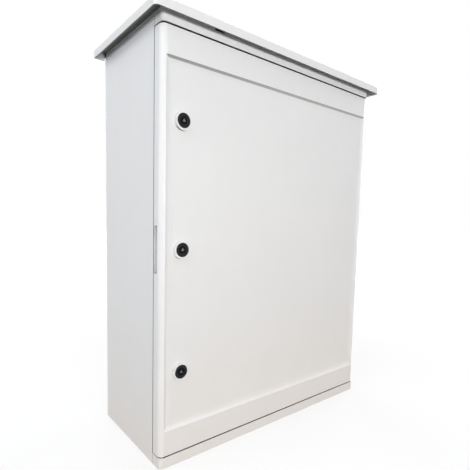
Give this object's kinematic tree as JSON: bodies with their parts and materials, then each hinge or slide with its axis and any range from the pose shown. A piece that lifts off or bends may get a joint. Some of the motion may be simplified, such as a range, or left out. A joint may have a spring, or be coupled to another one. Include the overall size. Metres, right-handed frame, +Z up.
{
  "type": "electrical enclosure",
  "caption": "Moulded outdoor electrical enclosure with a full-height hinged door, quarter-turn locks, a door gasket, a mounting plate and an overhanging rain canopy.",
  "frame": {"origin": "centre of the body's underside, on which the cabinet stands", "axes": "+X to the right seen from the front, +Y from the door to the back, +Z up"},
  "size_m": [0.806, 0.342, 1.013],
  "materials": {
    "shell": "light grey hot-pressed polyester, finely textured, satin",
    "lock_black": "black moulded polyamide, satin",
    "gasket": "closed-cell black rubber",
    "zinc": "zinc-plated steel",
    "steel": "plain stainless steel",
    "spindle": "blackened die-cast metal",
    "plate": "galvanised sheet steel with a faint spangle"
  },
  "bodies": {
    "cabinet": {"body": "shell", "canopy": "shell", "canopy_screws": "zinc", "hinge_bracket_upper": "zinc", "hinge_bracket_lower": "zinc", "hinge_bracket_screws": "zinc", "hinge_bracket_nuts": "zinc", "mounting_plate": "plate", "plate_screws": "zinc", "plate_washers": "zinc"},
    "door": {"door": "shell", "door_gasket": "gasket", "hinge_leaf_upper": "zinc", "hinge_leaf_lower": "zinc", "hinge_pin_upper": "steel", "hinge_pin_lower": "steel", "hinge_leaf_screws": "zinc", "lock_housing_top": "lock_black", "lock_seal_top": "gasket", "lock_nut_top": "zinc", "lock_housing_middle": "lock_black", "lock_seal_middle": "gasket", "lock_nut_middle": "zinc", "lock_housing_bottom": "lock_black", "lock_seal_bottom": "gasket", "lock_nut_bottom": "zinc"},
    "lock_top": {"lock_spindle_top": "spindle", "lock_cam_top": "zinc", "cam_screw_top": "zinc"},
    "lock_middle": {"lock_spindle_middle": "spindle", "lock_cam_middle": "zinc", "cam_screw_middle": "zinc"},
    "lock_bottom": {"lock_spindle_bottom": "spindle", "lock_cam_bottom": "zinc", "cam_screw_bottom": "zinc"}
  },
  "joints": [
    {"name": "door_hinge", "type": "hinge", "parent": "cabinet", "child": "door", "pos_m": [0.367, -0.148, 0.503], "axis": [0, 0, 1], "range_deg": [0, 120]},
    {"name": "lock_turn_top", "type": "hinge", "parent": "door", "child": "lock_top", "pos_m": [-0.3195, -0.13, 0.788], "axis": [0, -1, 0], "range_deg": [0, 90]},
    {"name": "lock_turn_middle", "type": "hinge", "parent": "door", "child": "lock_middle", "pos_m": [-0.3195, -0.13, 0.5045], "axis": [0, -1, 0], "range_deg": [0, 90]},
    {"name": "lock_turn_bottom", "type": "hinge", "parent": "door", "child": "lock_bottom", "pos_m": [-0.3195, -0.13, 0.221], "axis": [0, -1, 0], "range_deg": [0, 90]}
  ]
}
